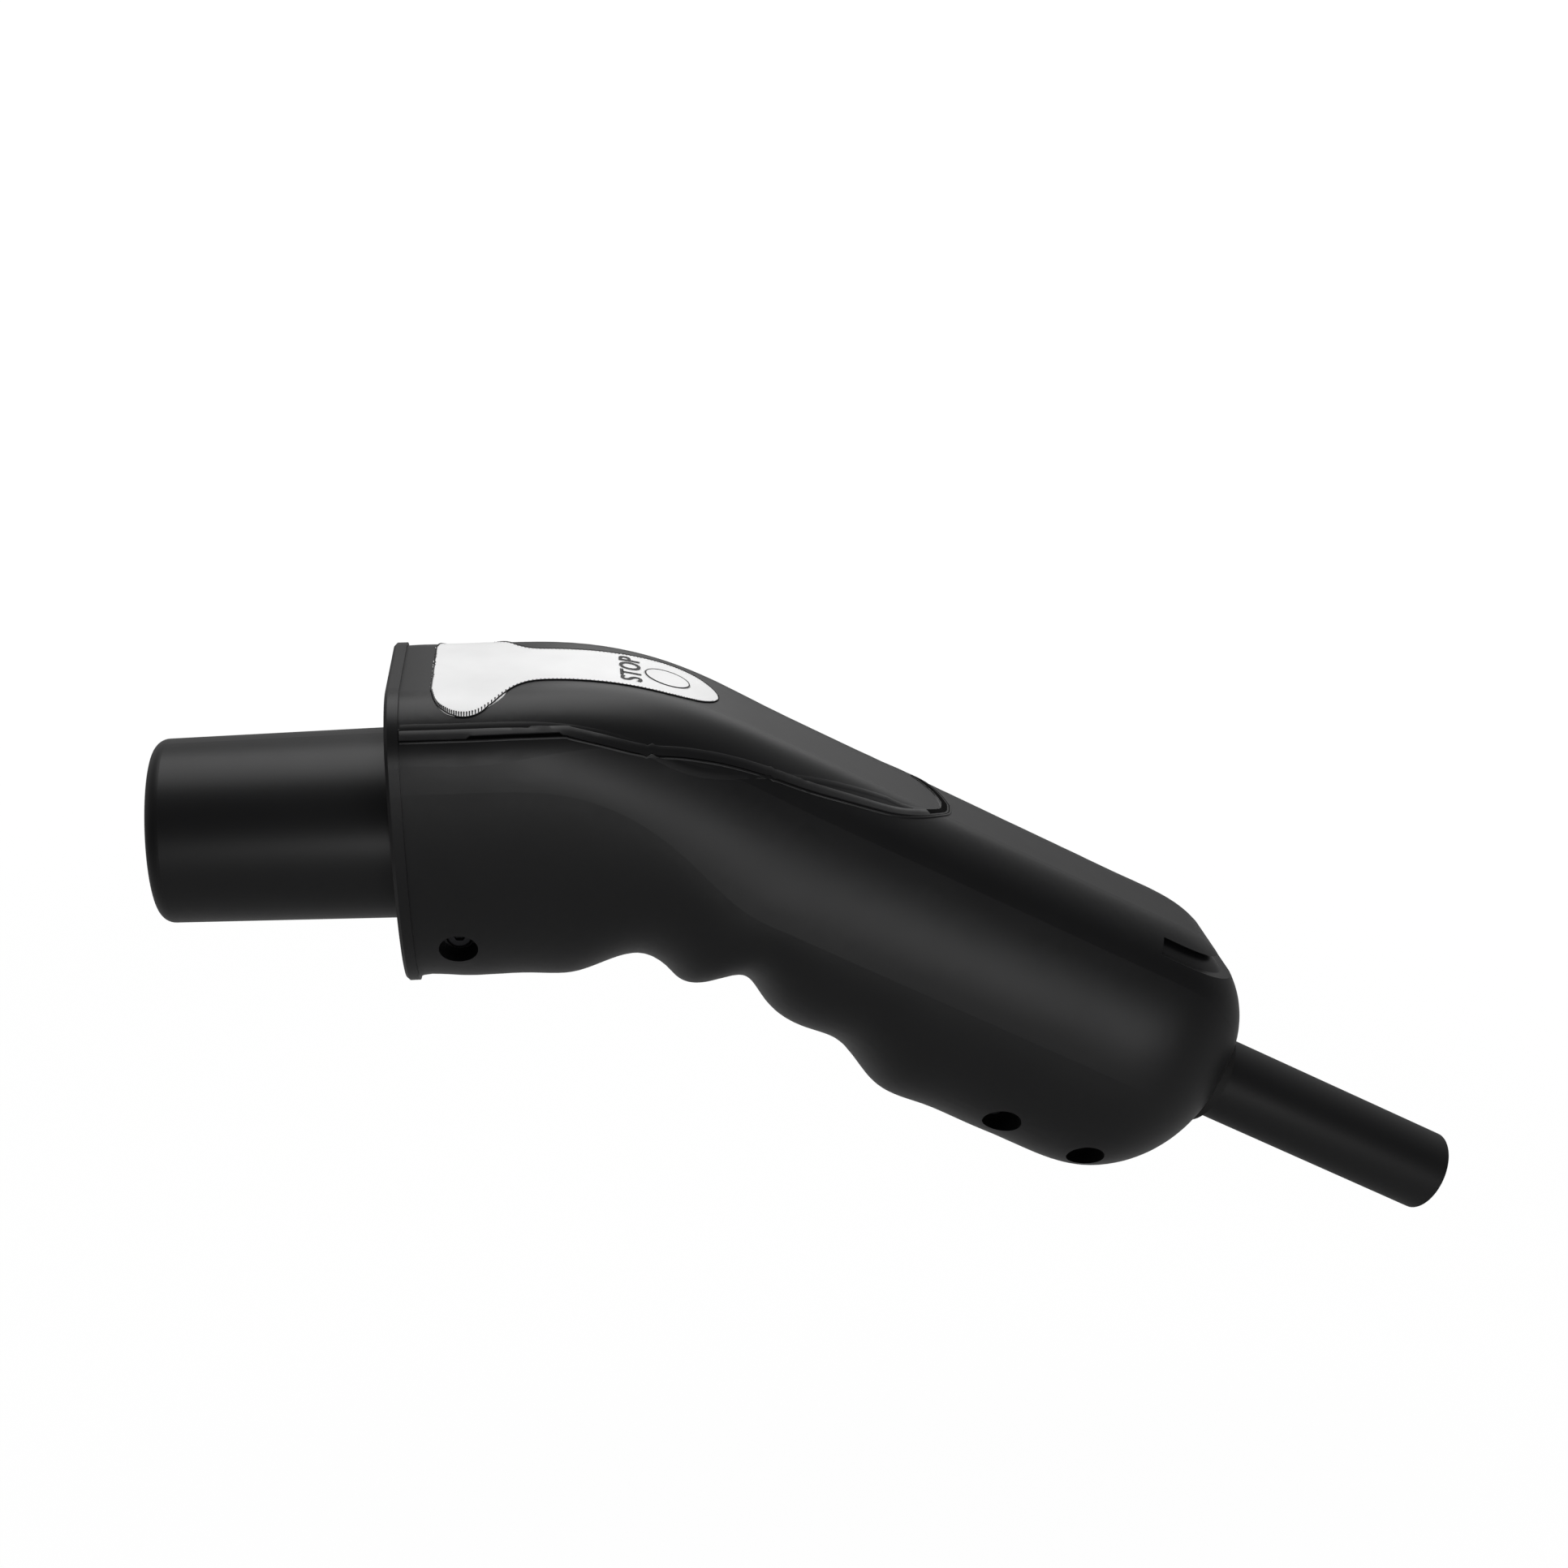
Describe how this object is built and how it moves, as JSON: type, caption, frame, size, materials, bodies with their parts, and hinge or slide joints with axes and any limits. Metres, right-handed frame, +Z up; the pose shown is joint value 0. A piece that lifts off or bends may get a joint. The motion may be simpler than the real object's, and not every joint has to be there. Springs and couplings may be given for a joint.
{
  "type": "ev charging plug",
  "caption": "Hand-held electric vehicle charging plug with a round nose, sloped grip, stop button and a short cable stub.",
  "frame": {"origin": "centre of the flange's front face, on the nose axis", "axes": "+X from the nose towards the handle along the nose axis, +Z up, Y = 0 is the plane where the two shells meet"},
  "size_m": [0.2996, 0.0578, 0.1475],
  "materials": {
    "black_plastic": "satin",
    "nose_plastic": "satin",
    "white_plastic": "satin",
    "contact_metal": "plated",
    "insulator": "matt",
    "steel": "zinc plated",
    "brass": "bare",
    "spring_steel": "bare",
    "board": "matt",
    "cable_rubber": "satin",
    "line_insulation": "matt",
    "neutral_insulation": "matt",
    "earth_insulation": "matt",
    "signal_insulation": "matt"
  },
  "bodies": {
    "housing": {"button_spring": "spring_steel", "cable_clamp_left": "insulator", "cable_clamp_right": "insulator", "cable_grommet": "cable_rubber", "cable_jacket": "cable_rubber", "clamp_screw_1": "steel", "clamp_screw_2": "steel", "contact_carrier": "insulator", "contact_retainer": "insulator", "control_board": "board", "earth_contact": "contact_metal", "earth_core": "earth_insulation", "front_flange": "black_plastic", "inlay_plate": "white_plastic", "left_shell": "black_plastic", "line_core": "line_insulation", "neutral_core": "neutral_insulation", "nose_barrel": "nose_plastic", "pilot_contact": "contact_metal", "pilot_core": "signal_insulation", "power_contact_left": "contact_metal", "power_contact_right": "contact_metal", "proximity_contact": "contact_metal", "proximity_core": "signal_insulation", "right_shell": "black_plastic", "shell_screw_1": "steel", "shell_screw_2": "steel", "shell_screw_3": "steel", "stop_switch": "insulator", "threaded_insert_1": "brass", "threaded_insert_2": "brass", "threaded_insert_3": "brass", "top_cover": "black_plastic"},
    "button": {"stop_button": "white_plastic"}
  },
  "joints": [
    {"name": "stop_press", "type": "slide", "parent": "housing", "child": "button", "axis": [-0.3156, 0, -0.9489], "range_m": [0, 0.0013], "stiffness_N_per_m": 900, "springref_m": -0.001, "deforming": ["button_spring"]}
  ]
}
